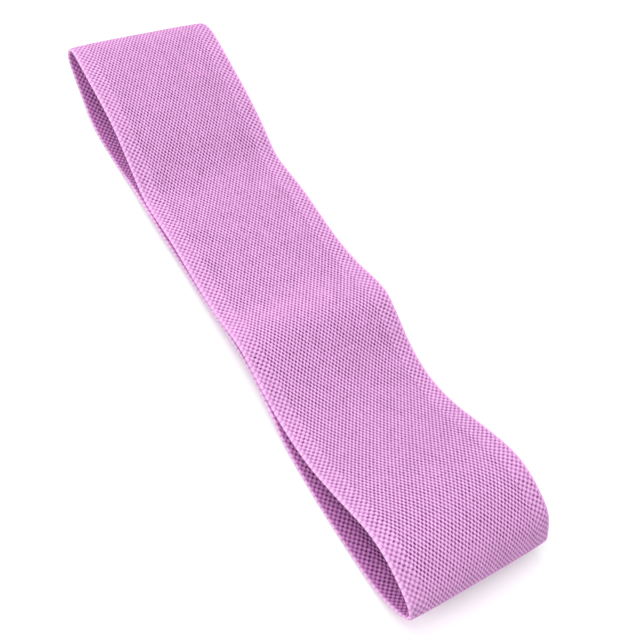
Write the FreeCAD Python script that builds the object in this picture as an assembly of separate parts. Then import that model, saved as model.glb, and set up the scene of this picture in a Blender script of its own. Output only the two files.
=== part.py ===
"""Woven elastic loop band for leg and hip exercises, lying slack on a flat surface.

The band is one wide strip of double-cloth elastic sewn into a loop.  It lies flattened, with the
loop's two bights at -X and +X and its width along Y.  The lower ply rests on Z = 0 near both
bights.  Millimetres, +Z up, origin at the middle of the loop's underside.
"""
import FreeCAD, Part
import math
import os

Vector = FreeCAD.Vector

# ---- driving dimensions ----
WIDTH = 80.0              # across the strip
THICKNESS = 1.8           # of one ply
CLOTH = 0.5               # thickness of the outer and of the inner face cloth
SELVEDGE = 1.5            # width of the solid rim along each edge
RUBBER = 0.7              # side of one square-cut rubber thread
RUBBER_PITCH = 2.0        # from thread to thread across the width

FAR_CUT = -100.0          # where the far bight ends and the two runs start
NEAR_CUT = 80.0           # where the two runs end and the near bight starts

SEAM_FROM = -50.0         # the strip's ends overlap inside the loop, on the lower run
SEAM_TO = -24.0
SEAM_CORNERS = [3, 4, 5]  # the lower run's corners that the overlap lies along
SEAM_GAP = 0.05           # between the overlapping ply and the one below it
SEAM_INSET = 1.5          # the overlapping ply stops short of both edges
STITCH_ROWS = 4
ROW_MARGIN = 4.0          # from the overlap's ends to the outer stitch rows
STITCH_LENGTH = 2.6
STITCH_PITCH = 3.4
STITCH_WIDTH = 0.5
STITCH_RISE = 0.25        # how far a stitch stands off the cloth
CONTACT_GAP = 0.02

# Corners of the loop's mid-surface line (X, Z).  Each corner is rounded by one tangent arc.
LOWER_RUN = [(-155.0, 10.0), (-136.0, 0.9), (-106.0, 0.9), (-82.0, 7.6), (-34.0, 5.0),
             (29.0, 15.2), (58.0, 7.6), (76.0, 0.9), (132.0, 0.9)]
NEAR_BIGHT = [(156.0, 4.6), (169.6, 11.6), (171.4, 22.0), (163.5, 29.4)]
UPPER_RUN = [(143.0, 34.4), (114.0, 23.0), (70.0, 6.0), (31.0, 22.4), (2.0, 11.6),
             (-40.0, 12.2), (-72.0, 7.6), (-94.0, 19.0), (-120.0, 26.4)]
FAR_BIGHT = [(-158.0, 32.6), (-168.6, 28.6), (-172.0, 19.0)]
ROUTE = LOWER_RUN + NEAR_BIGHT + UPPER_RUN + FAR_BIGHT
ARC_SHARE = 0.48          # part of the shorter neighbouring run that an arc may take up

# ---- derived ----
HALF = THICKNESS / 2
CLOTH_INSIDE = HALF - CLOTH
RIM = WIDTH / 2 - SELVEDGE
FAR_OUT = 400.0           # half size of the cutting boxes, larger than the band


def corner(index):
    """One rounded corner: its two runs' directions, its turn, arc radius, centre and reach."""
    before = Vector(ROUTE[index - 1][0], 0, ROUTE[index - 1][1])
    here = Vector(ROUTE[index][0], 0, ROUTE[index][1])
    after_index = (index + 1) % len(ROUTE)
    after = Vector(ROUTE[after_index][0], 0, ROUTE[after_index][1])
    run_in = here - before
    run_out = after - here
    reach = ARC_SHARE * min(run_in.Length, run_out.Length)
    run_in.normalize()
    run_out.normalize()
    turn = math.atan2(run_in.x * run_out.z - run_in.z * run_out.x, run_in.dot(run_out))
    radius = reach / math.tan(abs(turn) / 2)
    return here, run_in, run_out, turn, radius, reach


def outward(direction):
    """The loop runs anticlockwise seen from -Y, so its outside is on the right."""
    return Vector(direction.z, 0, -direction.x)


def line_and_arcs(offset, y, corners):
    """Edges at a distance outside (+) or inside (-) the mid-surface line, and their two ends."""
    arcs = []
    for index in corners:
        here, run_in, run_out, turn, radius, reach = corner(index)
        side = math.copysign(1.0, turn)
        start = here - run_in * reach
        centre = start - outward(run_in) * (radius * side)
        to_corner = here - centre
        to_corner.normalize()
        shift = Vector(0, y, 0)
        first = start + outward(run_in) * offset + shift
        middle = centre + to_corner * (radius + side * offset) + shift
        last = here + run_out * reach + outward(run_out) * offset + shift
        arcs.append((first, middle, last))
    edges = [Part.Arc(*arc).toShape() for arc in arcs]
    for arc, following in zip(arcs, arcs[1:]):
        edges.append(Part.LineSegment(arc[2], following[0]).toShape())
    return edges, arcs[0][0], arcs[-1][2]


def outline(offset, y):
    """Closed wire all the way round the loop."""
    edges, start, end = line_and_arcs(offset, y, range(len(ROUTE)))
    edges.append(Part.LineSegment(end, start).toShape())
    return Part.Wire(Part.sortEdges(edges)[0])


def ribbon(inside, outside, y_from, y_to):
    """Closed band between two offsets of the mid-surface line and two positions across."""
    rims = [outline(outside, y_from), outline(inside, y_from)]
    face = Part.makeFace(rims, "Part::FaceMakerBullseye")
    return face.extrude(Vector(0, y_to - y_from, 0))


def strip(inside, outside, y_from, y_to, corners):
    """Open stretch of a ribbon along some of the loop's corners."""
    edges, inside_start, inside_end = line_and_arcs(inside, y_from, corners)
    outer_edges, outside_start, outside_end = line_and_arcs(outside, y_from, corners)
    edges.extend(outer_edges)
    edges.append(Part.LineSegment(inside_start, outside_start).toShape())
    edges.append(Part.LineSegment(inside_end, outside_end).toShape())
    face = Part.Face(Part.Wire(Part.sortEdges(edges)[0]))
    return face.extrude(Vector(0, y_to - y_from, 0))


def between(shape, x_from, x_to):
    """Solids of a shape between two planes across the loop, lowest first."""
    size = Vector(x_to - x_from, FAR_OUT, FAR_OUT)
    box = Part.makeBox(size.x, size.y, size.z, Vector(x_from, -FAR_OUT / 2, -FAR_OUT / 2))
    solids = shape.common(box).Solids
    return sorted(solids, key=lambda solid: solid.CenterOfMass.z)


def quarters(band):
    """The four stretches of a closed band: two bights and the two runs between them."""
    lower, upper = between(band, FAR_CUT, NEAR_CUT)
    return {
        "far_turn": between(band, -FAR_OUT, FAR_CUT)[0],
        "near_turn": between(band, NEAR_CUT, FAR_OUT)[0],
        "lower_run": lower,
        "upper_run": upper,
    }


def repeated(solid, offsets):
    """Separate copies of one solid, moved across the width."""
    copies = []
    for y in offsets:
        copy = solid.copy()
        copy.translate(Vector(0, y, 0))
        copies.append(copy)
    return Part.makeCompound(copies)


def centred(count, pitch):
    """Positions of evenly spaced items about the middle of the width."""
    return [(number - (count - 1) / 2) * pitch for number in range(count)]


def cloths():
    """Outer and inner face cloth between the two rims."""
    return {
        "outer_face": quarters(ribbon(CLOTH_INSIDE, HALF, -RIM, RIM)),
        "inner_face": quarters(ribbon(-HALF, -CLOTH_INSIDE, -RIM, RIM)),
    }


def selvedges():
    """Solid woven rims along the front and the back edge."""
    return {
        "front_selvedge": quarters(ribbon(-HALF, HALF, -WIDTH / 2, -RIM)),
        "back_selvedge": quarters(ribbon(-HALF, HALF, RIM, WIDTH / 2)),
    }


def rubber_threads():
    """Square-cut rubber threads that lie side by side between the two cloths."""
    count = int((2 * RIM - RUBBER) / RUBBER_PITCH) + 1
    one = quarters(ribbon(-RUBBER / 2, RUBBER / 2, -RUBBER / 2, RUBBER / 2))
    offsets = centred(count, RUBBER_PITCH)
    return {"rubber_threads": {place: repeated(solid, offsets) for place, solid in one.items()}}


def seam_overlap():
    """The strip's end, lapped over the lower run inside the loop."""
    top = -HALF - SEAM_GAP
    half_width = WIDTH / 2 - SEAM_INSET
    layer = strip(top - THICKNESS, top, -half_width, half_width, SEAM_CORNERS)
    return between(layer, SEAM_FROM, SEAM_TO)[0]


def stitch_row(x):
    """One row of lockstitches across the overlap, seen under the band and inside the loop."""
    under = HALF + CONTACT_GAP
    inside = -HALF - SEAM_GAP - THICKNESS - CONTACT_GAP
    half_stitch = STITCH_LENGTH / 2
    count = int((WIDTH - 2 * SEAM_INSET - STITCH_LENGTH) / STITCH_PITCH)
    offsets = centred(count, STITCH_PITCH)
    sides = []
    for low, high in ((under, under + STITCH_RISE), (inside - STITCH_RISE, inside)):
        layer = strip(low, high, -half_stitch, half_stitch, SEAM_CORNERS)
        one = between(layer, x - STITCH_WIDTH / 2, x + STITCH_WIDTH / 2)[0]
        sides.extend(repeated(one, offsets).Solids)
    return Part.makeCompound(sides)


def seam():
    """The overlapping ply and its rows of stitches."""
    pieces = {"seam_overlap_ply": seam_overlap()}
    first = SEAM_FROM + ROW_MARGIN
    step = (SEAM_TO - SEAM_FROM - 2 * ROW_MARGIN) / (STITCH_ROWS - 1)
    for number in range(STITCH_ROWS):
        pieces["seam_stitch_row_%d" % (number + 1)] = stitch_row(first + number * step)
    return pieces


def whole_band():
    """Every piece of the band by its name."""
    pieces = {}
    for layer in (cloths(), selvedges(), rubber_threads()):
        for kind, stretches in layer.items():
            for place, shape in stretches.items():
                pieces["%s_%s" % (place, kind)] = shape
    pieces.update(seam())
    return pieces


def main():
    os.makedirs("parts", exist_ok=True)
    extent = FreeCAD.BoundBox()
    for name, shape in whole_band().items():
        shape.exportStep("parts/%s.step" % name)
        extent.add(shape.BoundBox)
        print(name, len(shape.Solids), "solids", round(shape.Volume), "mm3", shape.isValid())
    print("x", extent.XMin, extent.XMax, "y", extent.YMin, extent.YMax, "z", extent.ZMin, extent.ZMax)


main()
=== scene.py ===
"""Looks of a woven elastic loop band that lies slack on a pale floor.

The webbing is woven flat as rows of plump yarn floats with small gaps between them, then laid along
the loop's line.  Flat measures are millimetres: s round the loop, y across it, h off its mid-surface.
"""
import math

import bmesh
import bpy
import numpy as np
from mathutils import Matrix, Vector


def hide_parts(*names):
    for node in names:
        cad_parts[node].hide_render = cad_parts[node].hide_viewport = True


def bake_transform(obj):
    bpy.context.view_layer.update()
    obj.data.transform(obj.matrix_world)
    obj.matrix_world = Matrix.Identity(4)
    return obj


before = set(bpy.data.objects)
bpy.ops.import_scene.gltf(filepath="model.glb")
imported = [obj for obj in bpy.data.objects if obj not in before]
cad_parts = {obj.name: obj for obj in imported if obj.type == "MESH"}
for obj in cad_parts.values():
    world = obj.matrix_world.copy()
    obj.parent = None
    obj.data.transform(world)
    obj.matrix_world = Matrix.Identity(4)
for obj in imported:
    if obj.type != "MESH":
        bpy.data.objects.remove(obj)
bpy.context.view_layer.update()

# ---- the band, mm ----
WIDTH = 80.0
THICKNESS = 1.8
RIM = 1.5                 # solid woven rim along each edge
FLOAT_PITCH = 1.435       # from one row of floats to the next, round the loop
BODY_HALF = 31.0          # fine weave out to here, coarser weave from here to the rims
BODY_FLOATS = 64
EDGE_FLOATS = 6
RUBBER = 0.7
RUBBER_PITCH = 2.0
SEAM_FROM = -50.0
SEAM_TO = -24.0
SEAM_INSET = 1.5
FAR_CUT = -100.0
NEAR_CUT = 80.0
MM = 0.001

# Corners of the loop's line at its front edge and at its back edge (X, Z); both lines are smooth curves
LOWER_RUN = [(-155.0, 10.0), (-136.0, 0.9), (-106.0, 0.9), (-82.0, 8.2), (-34.0, 5.4),
             (29.0, 14.2), (60.0, 8.6), (78.0, 0.9), (132.0, 1.4)]
FRONT_UPPER = [(152.8, 4.2), (166.6, 13.4), (172.8, 21.0), (167.0, 29.0), (142.0, 34.5), (115.0, 23.2),
               (86.5, 11.0), (62.5, 9.6), (37.0, 16.8), (26.0, 17.8), (2.5, 11.4), (-40.0, 12.9),
               (-66.0, 9.2), (-77.0, 10.2), (-94.0, 17.6), (-120.0, 28.0), (-164.0, 33.2),
               (-172.7, 27.2), (-172.3, 18.6)]
BACK_UPPER = [(155.0, 4.6), (170.0, 10.0), (165.8, 20.0), (160.0, 28.0), (138.6, 33.8), (117.5, 25.2),
              (88.0, 9.8), (63.0, 8.2), (36.5, 20.6), (27.0, 22.0), (2.0, 14.0), (-41.0, 12.8),
              (-71.0, 9.6), (-81.0, 10.8), (-96.0, 18.2), (-125.0, 25.0), (-155.0, 31.6),
              (-168.3, 29.6), (-173.5, 19.7)]
CURVE_STEPS = 40

# Slight unevenness of the laid strip: height in mm, waves round the loop, phase
SWAYS = [(0.30, 5, 0.6), (0.18, 11, 2.1)]
BOW = (0.22, 7, 1.3)
BOW_SKEW = 0.03           # how far the bow's phase shifts across the strip, per mm
WIDTH_WAVE = (0.004, 9)
FULLNESS = (0.006, 0.005) # how far the middle stands out beyond the edges at the far and near bight
DRAW = 1.8                # how far a bight's back edge is drawn in, mm
DRAW_FROM = 156.0
DRAW_REACH = 16.0
SEED = 7

# ---- view ----
LOOK_AT = Vector((0.0208, 0.0121, 0.0))
VIEW_AZIMUTH = math.radians(44.5)
VIEW_ELEVATION = math.radians(53.125)
VIEW_ROLL = math.radians(18.354)
VIEW_DISTANCE = 0.50226
LENS = 56.6

random = np.random.default_rng(SEED)


# ---------------------------------------------------------------- camera, light and floor

def make_camera():
    """Camera above the near right corner, rolled a little clockwise."""
    back = Vector((math.sin(VIEW_AZIMUTH) * math.cos(VIEW_ELEVATION),
                   -math.cos(VIEW_AZIMUTH) * math.cos(VIEW_ELEVATION),
                   math.sin(VIEW_ELEVATION)))
    level = Vector((math.cos(VIEW_AZIMUTH), math.sin(VIEW_AZIMUTH), 0.0))
    upright = back.cross(level)
    right = level * math.cos(VIEW_ROLL) + upright * math.sin(VIEW_ROLL)
    up = upright * math.cos(VIEW_ROLL) - level * math.sin(VIEW_ROLL)
    data = bpy.data.cameras.new("camera")
    data.lens = LENS
    camera = bpy.data.objects.new("camera", data)
    camera.matrix_world = Matrix.Translation(LOOK_AT + back * VIEW_DISTANCE) @ Matrix(
        (right, up, back)).transposed().to_4x4()
    bpy.context.collection.objects.link(camera)
    bpy.context.scene.camera = camera


def area_light(name, place, size, power):
    """Soft square light aimed at the middle of the band."""
    data = bpy.data.lights.new(name, "AREA")
    data.size = size
    data.energy = power
    light = bpy.data.objects.new(name, data)
    light.location = place
    light.rotation_euler = (LOOK_AT - Vector(place)).to_track_quat("-Z", "Y").to_euler()
    bpy.context.collection.objects.link(light)


def make_studio():
    """White surroundings, three soft lights and a pale floor."""
    world = bpy.data.worlds.new("studio")
    bpy.context.scene.world = world
    world.use_nodes = True
    background = world.node_tree.nodes["Background"]
    background.inputs["Color"].default_value = (1.0, 1.0, 1.0, 1.0)
    background.inputs["Strength"].default_value = 0.50
    area_light("key", (-0.75, -0.25, 0.95), size=0.9, power=9.0)
    area_light("overhead", (0.25, -0.25, 1.2), size=1.6, power=13.5)
    area_light("front", (0.05, -0.90, 0.50), size=0.5, power=3.2)
    bm = bmesh.new()
    bmesh.ops.create_grid(bm, x_segments=1, y_segments=1, size=3.0)
    mesh = bpy.data.meshes.new("floor")
    bm.to_mesh(mesh)
    bm.free()
    floor = bpy.data.objects.new("floor", mesh)
    floor.location.z = -0.0001
    material = bpy.data.materials.new("pale_floor")
    material.use_nodes = True
    shader = material.node_tree.nodes["Principled BSDF"]
    shader.inputs["Base Color"].default_value = (0.96, 0.96, 0.96, 1.0)
    shader.inputs["Roughness"].default_value = 0.8
    mesh.materials.append(material)
    bpy.context.collection.objects.link(floor)
    bpy.context.scene.view_settings.view_transform = "Standard"


# ---------------------------------------------------------------- the loop's line

def smooth_loop(corners):
    """Closed quadratic spline round the corners, as points evenly spaced along its length."""
    points = np.array(corners)
    before = np.roll(points, 1, axis=0)[:, None, :]
    here = points[:, None, :]
    after = np.roll(points, -1, axis=0)[:, None, :]
    t = np.linspace(0.0, 1.0, CURVE_STEPS, endpoint=False)[None, :, None]
    curve = 0.5 * ((1 - t) ** 2 * before + (1 + 2 * t - 2 * t * t) * here + t * t * after)
    curve = curve.reshape(-1, 2)
    closed = np.vstack([curve, curve[:1]])
    run = np.concatenate([[0.0], np.cumsum(np.hypot(*np.diff(closed, axis=0).T))])
    return closed, run


FRONT_LINE = smooth_loop(LOWER_RUN + FRONT_UPPER)
BACK_LINE = smooth_loop(LOWER_RUN + BACK_UPPER)
GIRTH = (FRONT_LINE[1][-1] + BACK_LINE[1][-1]) / 2
ROWS = 2 * round(GIRTH / FLOAT_PITCH / 2)


def on_line(line, share):
    """Points of a line at shares of its whole length."""
    points, run = line
    at = np.mod(share, 1.0) * run[-1]
    return np.stack([np.interp(at, run, points[:, 0]), np.interp(at, run, points[:, 1])], axis=1)


def mid_surface(share, y):
    """Row-frame points (mm) of the webbing's middle layer, with its slight unevenness."""
    across = (y / WIDTH + 0.5)[:, None]
    xz = on_line(FRONT_LINE, share) * (1 - across) + on_line(BACK_LINE, share) * across
    turn = 2 * math.pi * share
    sway = sum(height * np.sin(waves * turn + phase) for height, waves, phase in SWAYS)
    bow = BOW[0] * np.sin(BOW[1] * turn + BOW[2] + BOW_SKEW * y)
    half = WIDTH / 2
    reach = np.where(xz[:, 0] < 0, *FULLNESS) * (1 - np.clip(np.abs(y) / half, 0.0, 1.0) ** 4)
    fold = np.clip((np.abs(xz[:, 0]) - DRAW_FROM) / DRAW_REACH, 0.0, 1.0)
    drawn_in = DRAW * fold ** 2 * np.clip(y / half, -0.3, 1.0) ** 3
    stretched = y * (1 + WIDTH_WAVE[0] * np.sin(WIDTH_WAVE[1] * turn))
    return np.stack([xz[:, 0] * (1 + reach), stretched + sway - drawn_in,
                     xz[:, 1] + bow * (y / half) ** 2], axis=1)


def laid(flat):
    """Flat webbing points (s, y, h) in mm, laid along the loop, in metres of the row frame."""
    share = flat[:, 0] / (ROWS * FLOAT_PITCH)
    y = flat[:, 1]
    step = 0.4 / GIRTH
    along = mid_surface(share + step, y) - mid_surface(share - step, y)
    cross = mid_surface(share, y + 0.5) - mid_surface(share, y - 0.5)
    inward = np.cross(along, cross)
    inward /= np.linalg.norm(inward, axis=1)[:, None]
    points = mid_surface(share, y) - inward * flat[:, 2:3]
    points[:, 2] = np.maximum(points[:, 2], 0.0)
    return points * MM


def row_at(x, upper):
    """The weave row nearest to a place along X, on the upper or on the lower run."""
    shares = np.arange(ROWS) / ROWS
    points = mid_surface(shares, np.zeros(ROWS))
    travel = np.roll(points[:, 0], -1) - points[:, 0]
    miss = np.abs(points[:, 0] - x) + np.where((travel < 0) == upper, 0.0, WIDTH * 10)
    return int(np.argmin(miss))


# ---------------------------------------------------------------- materials

# Uneven dye, per mm round the loop and across it: broad patches, lengthwise streaks and single fibres
PATCH_SCALE = (0.06, 0.09)
STREAK_SCALE = (0.10, 1.1)
FIBRE_SCALE = (5.5, 2.2)

def shader_tree(name, roughness, sheen):
    """A new material's nodes, its links and its main shader, with a soft textile sheen."""
    material = bpy.data.materials.new(name)
    material.use_nodes = True
    nodes = material.node_tree.nodes
    shader = nodes["Principled BSDF"]
    shader.inputs["Roughness"].default_value = roughness
    shader.inputs["Specular IOR Level"].default_value = 0.2
    shader.inputs["Sheen Weight"].default_value = sheen
    shader.inputs["Sheen Roughness"].default_value = 0.45
    shader.inputs["Sheen Tint"].default_value = (1.0, 0.86, 0.98, 1.0)
    return material, nodes, material.node_tree.links, shader


def strip_coordinates(nodes, links, scale):
    """The piece's own flat coordinates in millimetres, times a scale round and across the loop."""
    uv = nodes.new("ShaderNodeUVMap")
    uv.uv_map = "strip"
    mapping = nodes.new("ShaderNodeMapping")
    mapping.inputs["Scale"].default_value = (ROWS * FLOAT_PITCH * scale[0], WIDTH * scale[1], 1.0)
    links.new(uv.outputs["UV"], mapping.inputs["Vector"])
    return mapping.outputs["Vector"]


def noise(nodes, links, vector, detail, roughness=0.55):
    """Noise value over a set of coordinates."""
    texture = nodes.new("ShaderNodeTexNoise")
    texture.inputs["Scale"].default_value = 1.0
    texture.inputs["Detail"].default_value = detail
    texture.inputs["Roughness"].default_value = roughness
    links.new(vector, texture.inputs["Vector"])
    return texture.outputs["Fac"]


def ranged(nodes, links, value, low, high, to_low, to_high):
    """A value mapped from one range to another and held there."""
    node = nodes.new("ShaderNodeMapRange")
    node.inputs["From Min"].default_value = low
    node.inputs["From Max"].default_value = high
    node.inputs["To Min"].default_value = to_low
    node.inputs["To Max"].default_value = to_high
    links.new(value, node.inputs["Value"])
    return node.outputs["Result"]


def multiplied(nodes, links, colour, value):
    """A colour made lighter or darker by a value."""
    node = nodes.new("ShaderNodeVectorMath")
    node.operation = "SCALE"
    links.new(colour, node.inputs[0])
    links.new(value, node.inputs["Scale"])
    return node.outputs["Vector"]


def yarn_material(name, stops, roughness=0.8, sheen=0.07):
    """Dyed polyester yarn, uneven and fibrous, with painted shade between the floats and a painted
    highlight on their crowns.
    """
    material, nodes, links, shader = shader_tree(name, roughness, sheen)
    relief = nodes.new("ShaderNodeAttribute")
    relief.attribute_name = "relief"
    # Colour from the relief attribute: with the cloth and rim stops this paints shade in gaps and grooves
    # and a highlight on crowns. Pieces with a fixed relief get one colour.
    ramp = nodes.new("ShaderNodeValToRGB")
    ramp.color_ramp.elements[0].position = stops[0][0]
    ramp.color_ramp.elements[0].color = (*stops[0][1], 1.0)
    ramp.color_ramp.elements[1].position = stops[-1][0]
    ramp.color_ramp.elements[1].color = (*stops[-1][1], 1.0)
    for place, colour in stops[1:-1]:
        ramp.color_ramp.elements.new(place).color = (*colour, 1.0)
    links.new(relief.outputs["Fac"], ramp.inputs["Fac"])
    patches = noise(nodes, links, strip_coordinates(nodes, links, PATCH_SCALE), detail=2.0)
    streaks = noise(nodes, links, strip_coordinates(nodes, links, STREAK_SCALE), detail=1.0)
    fibres = noise(nodes, links, strip_coordinates(nodes, links, FIBRE_SCALE), detail=2.0, roughness=0.65)
    colour = multiplied(nodes, links, ramp.outputs["Color"],
                        ranged(nodes, links, patches, 0.3, 0.7, 0.97, 1.03))
    colour = multiplied(nodes, links, colour, ranged(nodes, links, streaks, 0.3, 0.7, 0.93, 1.07))
    colour = multiplied(nodes, links, colour, ranged(nodes, links, fibres, 0.25, 0.75, 0.86, 1.12))
    links.new(colour, shader.inputs["Base Color"])
    links.new(ranged(nodes, links, fibres, 0.2, 0.8, roughness - 0.1, roughness + 0.1),
              shader.inputs["Roughness"])
    bump = nodes.new("ShaderNodeBump")
    bump.inputs["Strength"].default_value = 0.5
    bump.inputs["Distance"].default_value = 0.00008
    links.new(fibres, bump.inputs["Height"])
    links.new(bump.outputs["Normal"], shader.inputs["Normal"])
    return material


# Colour ramps over relief, 0 at a gap's floor and 1 on a crown. The low dark stops are painted shade in
# the gaps between floats, the top stop is a painted highlight on the crowns, and the stops between are
# the yarn's own colour.
CLOTH_PAINTED_SHADE_HIGHLIGHT_STOPS = [(0.0, (0.085, 0.004, 0.075)), (0.26, (0.150, 0.012, 0.130)), (0.60, (0.45, 0.198, 0.422)),
               (1.0, (0.67, 0.365, 0.640))]
# Inner faces: the same yarn painted darker and more saturated all over, as painted shade for the inside
# of the loop, with the same painted shade in the gaps and painted highlight on the crowns.
SHADED_STOPS = [(0.0, (0.055, 0.003, 0.048)), (0.30, (0.11, 0.010, 0.095)), (0.62, (0.36, 0.115, 0.330)),
                (1.0, (0.60, 0.260, 0.560))]
# Rim: dark at its narrow ribs (relief 0), as painted shade between the ribs. The rubber and thread
# colours are their own.
RIM_PAINTED_SHADE_STOPS = [(0.0, (0.44, 0.20, 0.41)), (0.5, (0.56, 0.29, 0.53)), (1.0, (0.66, 0.37, 0.63))]
RUBBER_STOPS = [(0.0, (0.62, 0.54, 0.38)), (1.0, (0.80, 0.74, 0.60))]
THREAD_STOPS = [(0.0, (0.42, 0.17, 0.38)), (1.0, (0.86, 0.52, 0.80))]
cloth_finish = yarn_material("woven_mauve_yarn", CLOTH_PAINTED_SHADE_HIGHLIGHT_STOPS)
# Copy of the yarn with painted shade, for the inner faces and the overlap ply inside the loop.
inner_painted_shade_finish = yarn_material("woven_mauve_yarn_painted_shade_inside", SHADED_STOPS)
rim_finish = yarn_material("woven_rim_yarn", RIM_PAINTED_SHADE_STOPS)
rubber_finish = yarn_material("natural_rubber", RUBBER_STOPS, 0.55, 0.0)
stitch_finish = yarn_material("sewing_thread", THREAD_STOPS, 0.5, 0.2)


# ---------------------------------------------------------------- weaving flat pieces

HALF = THICKNESS / 2
CLOTH_HALF = WIDTH / 2 - RIM / 2
CROWN = 0.16              # height of a float's crown over the cloth's base
SHOULDER = 0.10
SHOULDER_INSET = 0.19
CROWN_INSET = 0.14
GAP_DEPTH = 0.28
GAP_INSET = 0.12          # from a cell's edge to its gap's mouth
GAP_FLOOR_INSET = 0.035
LIP = 0.11                # depth of the gap's mouth
GAP_SHARE = (0.90, 0.78)  # a gap's length round and across the loop, as shares of its cell's opening
DASH_SHARE = (0.32, 0.92) # the same in the coarser weave beside the rims
DASH_DEPTH = 0.25
DASH_SLANT = 0.6          # lean of those gaps, as a share of the lean of the fine ones
GAP_SLANT = 0.45          # sideways lean of a gap, per length round the loop
GAP_SIZES = (0.72, 1.10)  # smallest and largest random size
GAP_LEANS = (0.6, 1.1)
CORNER_STRAY = 0.07       # how far a cell's corner wanders
TIP_FROM = 156.0          # where the weave starts to close towards either tip
TIP_REACH = 12.0
TIP_CLOSING = 0.42
CREST_BACK = 17.0         # the middle crest's far slope
CREST_REACH = 9.0
CREST_CLOSING = 0.25
CLOTH_BASE = HALF - CROWN
BACKING = 0.44            # from the cloth's base to its plain underside
BACK_STRIPE = 8           # width of the underside's strips, in columns
RELIEF_LOW = -0.37
ACROSS = np.concatenate([np.linspace(-CLOTH_HALF, -BODY_HALF, EDGE_FLOATS + 1)[:-1],
                         np.linspace(-BODY_HALF, BODY_HALF, BODY_FLOATS + 1),
                         np.linspace(BODY_HALF, CLOTH_HALF, EDGE_FLOATS + 1)[1:]])
RIM_SECTIONS = 12
RIM_RIB = 0.92            # size of the rim's section at each rib
RIM_SINK = 0.10           # the rim is lower than the cloth's crowns by this
RUBBER_PRESS = 0.8        # the threads are pressed a little flat between the cloths
RUBBER_TONE = 0.7         # place of the plain pieces' colour on their material's ramp
STITCH_TONE = 0.8

# ---- the lap seam, mm ----
SEAM_GAP = 0.05
PLY_CLEARANCE = 0.02
ROW_MARGIN = 4.0
STITCH_ROWS = 4
STITCH_LENGTH = 2.6
STITCH_PITCH = 3.4
STITCH_WIDTH = 0.5
STITCH_RISE = 0.22
STITCH_LIFT = 0.06


def flat_height(flat):
    """A piece's own height over the strip's middle layer."""
    return flat[:, 2]


def cloth_relief(flat):
    """0 at the floor of a gap, 1 on a crown."""
    return np.clip((flat[:, 2] - RELIEF_LOW) / (CROWN - RELIEF_LOW), 0.0, 1.0)


def finish_piece(name, bm, lay_h, flip, finish, cad_nodes, relief_of=cloth_relief, weld=False):
    """Turn a flat bmesh into a finished piece laid along the loop, hiding the model's nodes that it
    stands for.
    """
    mesh = bpy.data.meshes.new(name)
    bm.to_mesh(mesh)
    bm.free()
    flat = np.empty(len(mesh.vertices) * 3, np.float32)
    mesh.vertices.foreach_get("co", flat)
    flat = flat.reshape(-1, 3).astype(float)
    # The relief attribute picks the colour on the material's ramp: painted shade where low, painted
    # highlight on the crowns.
    relief = relief_of(flat).astype(np.float32)
    mesh.attributes.new("relief", "FLOAT", "POINT").data.foreach_set("value", relief)
    corners = np.empty(len(mesh.loops), np.int32)
    mesh.loops.foreach_get("vertex_index", corners)
    uv = np.stack([flat[:, 0] / (ROWS * FLOAT_PITCH), flat[:, 1] / WIDTH + 0.5], axis=1)[corners]
    mesh.uv_layers.new(name="strip").data.foreach_set("uv", uv.astype(np.float32).ravel())
    flat[:, 2] = lay_h(flat)
    mesh.vertices.foreach_set("co", laid(flat).astype(np.float32).ravel())
    if flip:
        mesh.flip_normals()
    if weld:
        bm = bmesh.new()
        bm.from_mesh(mesh)
        bmesh.ops.remove_doubles(bm, verts=bm.verts, dist=0.00002)
        bmesh.ops.recalc_face_normals(bm, faces=bm.faces)
        bm.to_mesh(mesh)
        bm.free()
    mesh.update()
    mesh.materials.append(finish)
    piece = bpy.data.objects.new(name, mesh)
    bpy.context.collection.objects.link(piece)
    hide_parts(*cad_nodes)
    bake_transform(piece)
    return piece


def flat_places(faces):
    """Where faces lie on the flat strip, round the loop and across it."""
    return np.array([tuple(face.calc_center_median())[:2] for face in faces]).T


def unevenness(faces):
    """Slow wandering of the weave's tightness over the strip, about -1 to 1."""
    s, y = flat_places(faces)
    return (np.sin(0.31 * s + 0.17 * y + 1.0) + np.sin(0.13 * s - 0.29 * y + 4.0)
            + np.sin(0.55 * s + 0.41 * y + 2.5) + np.sin(0.07 * s + 0.62 * y)) / 3.0


def openness(faces):
    """How far each gap opens: the cloth closes up at the bights' tips and behind the middle crest."""
    s, y = flat_places(faces)
    x = mid_surface(s / (ROWS * FLOAT_PITCH), y)[:, 0]
    tip = np.clip((np.abs(x) - TIP_FROM) / TIP_REACH, 0.0, 1.0)
    crest = np.exp(-((x - CREST_BACK) / CREST_REACH) ** 2)
    return 1.0 - TIP_CLOSING * tip - CREST_CLOSING * crest


def lifted(faces, height, spread, sway):
    """Move inset faces to about a height, each a little differently, with a small sideways lean."""
    unlike = 0.65 * random.uniform(-1, 1, len(faces)) + 0.35 * unevenness(faces)
    heights = height * (1 + spread * unlike)
    leans = random.uniform(-sway, sway, (len(faces), 2))
    for face, level, lean in zip(faces, heights, leans):
        for vert in face.verts:
            vert.co.z = level
            vert.co.x += lean[0]
            vert.co.y += lean[1]


def narrowed(face, share, slant):
    """Shrink an inset face about its own middle, and lean it sideways."""
    middle = face.calc_center_median()
    for vert in face.verts:
        vert.co.x = middle.x + (vert.co.x - middle.x) * share[0]
        vert.co.y = middle.y + (vert.co.y - middle.y) * share[1] + (vert.co.x - middle.x) * slant


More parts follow.
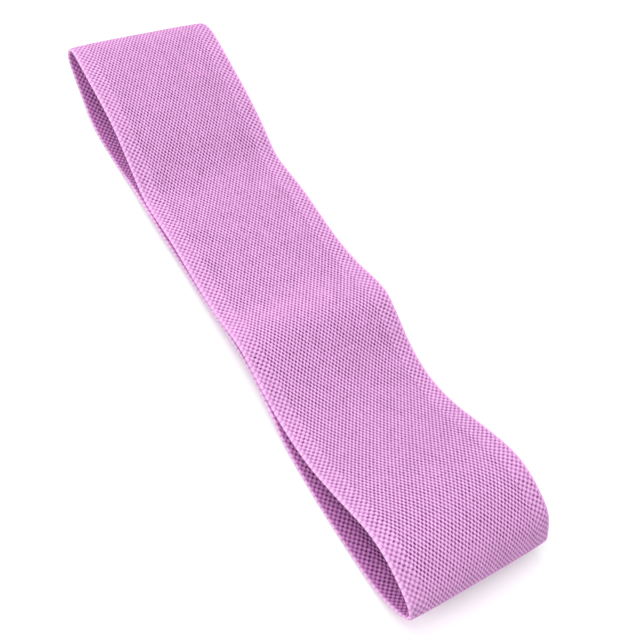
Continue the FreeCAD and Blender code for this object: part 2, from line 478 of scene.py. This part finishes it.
def woven_strip(first_row, rows, across, backing, slant):
    """Flat closed cloth: raised floats and sunk gaps in a checkerboard, plain underneath."""
    columns = len(across) - 1
    bm = bmesh.new()
    bmesh.ops.create_grid(bm, x_segments=rows, y_segments=columns, size=0.5)
    underside = list(bm.faces)
    raised = bmesh.ops.extrude_face_region(bm, geom=underside, use_keep_orig=True)["geom"]
    top = [item for item in raised if isinstance(item, bmesh.types.BMFace)]
    for face in underside:
        for vert in face.verts:
            vert.co.z = -backing
    bmesh.ops.reverse_faces(bm, faces=underside)
    bm.edges.index_update()
    lengthwise = {edge for face in underside for edge in face.edges
                  if edge.verts[0].co.y == edge.verts[1].co.y and len(edge.link_faces) == 2
                  and round((edge.verts[0].co.y + 0.5) * columns) % BACK_STRIPE != BACK_STRIPE // 2
                  and all(other.verts[0].co.z < 0 for other in edge.link_faces)}
    in_order = sorted(lengthwise, key=lambda edge: edge.index)
    bmesh.ops.dissolve_edges(bm, edges=in_order, use_verts=True)
    gaps, floats = [], []
    for face in top:
        middle = face.calc_center_median()
        row = int((middle.x + 0.5) * rows)
        column = int((middle.y + 0.5) * columns)
        (floats if (first_row + row + column) % 2 else gaps).append(face)
    on_top = set(top)
    wander = random.uniform(-CORNER_STRAY, CORNER_STRAY, (len(bm.verts), 2))
    for vert, stray in zip(bm.verts, wander):
        inner = all(face in on_top for face in vert.link_faces)
        vert.co.x = (first_row + round((vert.co.x + 0.5) * rows)) * FLOAT_PITCH + inner * stray[0]
        vert.co.y = across[round((vert.co.y + 0.5) * columns)] + inner * stray[1]
    for edge in bm.edges:
        edge.smooth = sum(face in on_top for face in edge.link_faces) != 1
    bmesh.ops.inset_individual(bm, faces=gaps, thickness=GAP_INSET)
    fine = [face for face in gaps if abs(face.calc_center_median().y) < BODY_HALF]
    dashes = [face for face in gaps if abs(face.calc_center_median().y) >= BODY_HALF]
    for faces, share, lean in ((fine, GAP_SHARE, slant), (dashes, DASH_SHARE, slant * DASH_SLANT)):
        for face, opening in zip(faces, openness(faces)):
            size = opening * random.uniform(*GAP_SIZES)
            narrowed(face, (share[0] * size, share[1] * size), lean * random.uniform(*GAP_LEANS))
    lifted(gaps, -LIP, spread=0.5, sway=0.06)
    bmesh.ops.inset_individual(bm, faces=gaps, thickness=GAP_FLOOR_INSET)
    lifted(fine, -GAP_DEPTH, spread=0.36, sway=0.03)
    lifted(dashes, -DASH_DEPTH, spread=0.45, sway=0.03)
    bmesh.ops.inset_individual(bm, faces=floats, thickness=SHOULDER_INSET)
    lifted(floats, SHOULDER, spread=0.2, sway=0.05)
    bmesh.ops.inset_individual(bm, faces=floats, thickness=CROWN_INSET)
    lifted(floats, CROWN, spread=0.2, sway=0.04)
    for face in bm.faces:
        face.smooth = True
    return bm


def rows_of_stretches():
    """First row and number of rows of each stretch between the two cuts."""
    lower_far = row_at(FAR_CUT, False)
    lower_near = row_at(NEAR_CUT, False)
    upper_near = row_at(NEAR_CUT, True)
    upper_far = row_at(FAR_CUT, True)
    return {"lower_run": (lower_far, lower_near - lower_far),
            "near_turn": (lower_near, upper_near - lower_near),
            "upper_run": (upper_near, upper_far - upper_near),
            "far_turn": (upper_far, lower_far + ROWS - upper_far)}


def make_cloths(stretches):
    """Outer and inner face cloth of each stretch, each a piece of its own."""
    made = {}
    for place, (first, rows) in stretches.items():
        for kind, side in (("outer_face", 1), ("inner_face", -1)):
            node = "%s_%s" % (place, kind)
            bm = woven_strip(first, rows, ACROSS, BACKING, -side * GAP_SLANT)
            # Inner faces take the copy of the yarn with painted shade.
            finish, slot = (cloth_finish, "face_cloth") if side > 0 else (inner_painted_shade_finish, "back_cloth")
            piece = finish_piece("woven_" + node, bm,
                                 lambda flat, side=side: side * (CLOTH_BASE + flat[:, 2]),
                                 side > 0, finish, [node])
            made[node] = (piece, rows * FLOAT_PITCH * MM)
    return made


def make_rim(name, side, cad_nodes):
    """Solid woven rim along one edge: a rounded section with a slight rib at every row, with painted
    shade at each rib.
    """
    bm = bmesh.new()
    bmesh.ops.create_grid(bm, x_segments=2 * ROWS, y_segments=RIM_SECTIONS, size=0.5)
    for vert in bm.verts:
        step = round((vert.co.x + 0.5) * 2 * ROWS)
        angle = (round((vert.co.y + 0.5) * RIM_SECTIONS) / RIM_SECTIONS) * 2 * math.pi
        rib = 1.0 if step % 4 else RIM_RIB
        vert.co.x = step * FLOAT_PITCH / 2
        vert.co.y = side * (WIDTH / 2 - RIM / 2 + RIM / 2 * rib * math.cos(angle))
        vert.co.z = (HALF - RIM_SINK) * rib * math.sin(angle)
    for face in bm.faces:
        face.smooth = True
    # Relief 0 at each rib's narrow section, where the rim's ramp paints shade.
    return finish_piece(name, bm, flat_height, False, rim_finish, cad_nodes,
                        lambda flat: np.where(np.rint(flat[:, 0] * 2 / FLOAT_PITCH) % 4 == 0, 0.0, 1.0),
                        True)


def make_rubber(cad_nodes):
    """Square-cut rubber threads side by side between the two cloths."""
    count = int((2 * CLOTH_HALF - RUBBER) / RUBBER_PITCH) + 1
    steps = ROWS // 2
    bm = bmesh.new()
    for number in range(count):
        y = (number - (count - 1) / 2) * RUBBER_PITCH
        made = bmesh.ops.create_grid(bm, x_segments=steps, y_segments=4, size=0.5)["verts"]
        for vert in made:
            corner = math.pi / 4 + round((vert.co.y + 0.5) * 4) * math.pi / 2
            vert.co.x = round((vert.co.x + 0.5) * steps) * 2 * FLOAT_PITCH
            vert.co.y = y + RUBBER / math.sqrt(2) * math.cos(corner)
            vert.co.z = RUBBER / math.sqrt(2) * math.sin(corner) * RUBBER_PRESS
    return finish_piece("rubber_threads", bm, flat_height, False, rubber_finish,
                        cad_nodes, lambda flat: np.full(len(flat), RUBBER_TONE), True)


def make_seam():
    """The overlapping ply inside the loop and its rows of stitches."""
    first = row_at(SEAM_FROM, False)
    rows = row_at(SEAM_TO, False) - first
    half_width = WIDTH / 2 - SEAM_INSET
    across = np.linspace(-half_width, half_width, BODY_FLOATS + 2 * EDGE_FLOATS + 1)
    base = HALF + SEAM_GAP + THICKNESS - CROWN
    bm = woven_strip(first, rows, across, THICKNESS - CROWN - PLY_CLEARANCE, GAP_SLANT)
    # The overlap ply inside the loop takes the copy of the yarn with painted shade.
    made = [finish_piece("woven_seam_overlap_ply", bm, lambda flat: -(base + flat[:, 2]), False,
                         inner_painted_shade_finish, ["seam_overlap_ply"])]
    start = first * FLOAT_PITCH + ROW_MARGIN
    step = (rows * FLOAT_PITCH - 2 * ROW_MARGIN) / (STITCH_ROWS - 1)
    for number in range(STITCH_ROWS):
        made.append(make_stitch_row(number + 1, start + number * step))
    return made, rows * FLOAT_PITCH * MM


def make_stitch_row(number, s):
    """Lockstitches across the seam, half of them under the band and half inside the loop."""
    count = int((WIDTH - 2 * SEAM_INSET - STITCH_LENGTH) / STITCH_PITCH)
    size = Matrix.Diagonal((STITCH_WIDTH / 2, STITCH_LENGTH / 2, STITCH_RISE, 1.0))
    bm = bmesh.new()
    for h in (HALF + STITCH_LIFT, -(HALF + SEAM_GAP + THICKNESS + STITCH_LIFT)):
        for stitch in range(count):
            y = (stitch - (count - 1) / 2) * STITCH_PITCH
            place = Matrix.Translation((s, y, h)) @ size
            bmesh.ops.create_uvsphere(bm, u_segments=8, v_segments=6, radius=1.0, matrix=place)
    for face in bm.faces:
        face.smooth = True
    node = "seam_stitch_row_%d" % number
    return finish_piece("sewn_" + node, bm, flat_height, True, stitch_finish, [node],
                        lambda flat: np.full(len(flat), STITCH_TONE))


# ---------------------------------------------------------------- the whole band

make_camera()
make_studio()
STRETCHES = rows_of_stretches()
cloths = make_cloths(STRETCHES)
rims = [make_rim("woven_%s_rim" % edge, side, ["%s_%s_selvedge" % (place, edge) for place in STRETCHES])
        for edge, side in (("front", -1), ("back", 1))]
rubber = make_rubber(["%s_rubber_threads" % place for place in STRETCHES])
seam_pieces, seam_length = make_seam()
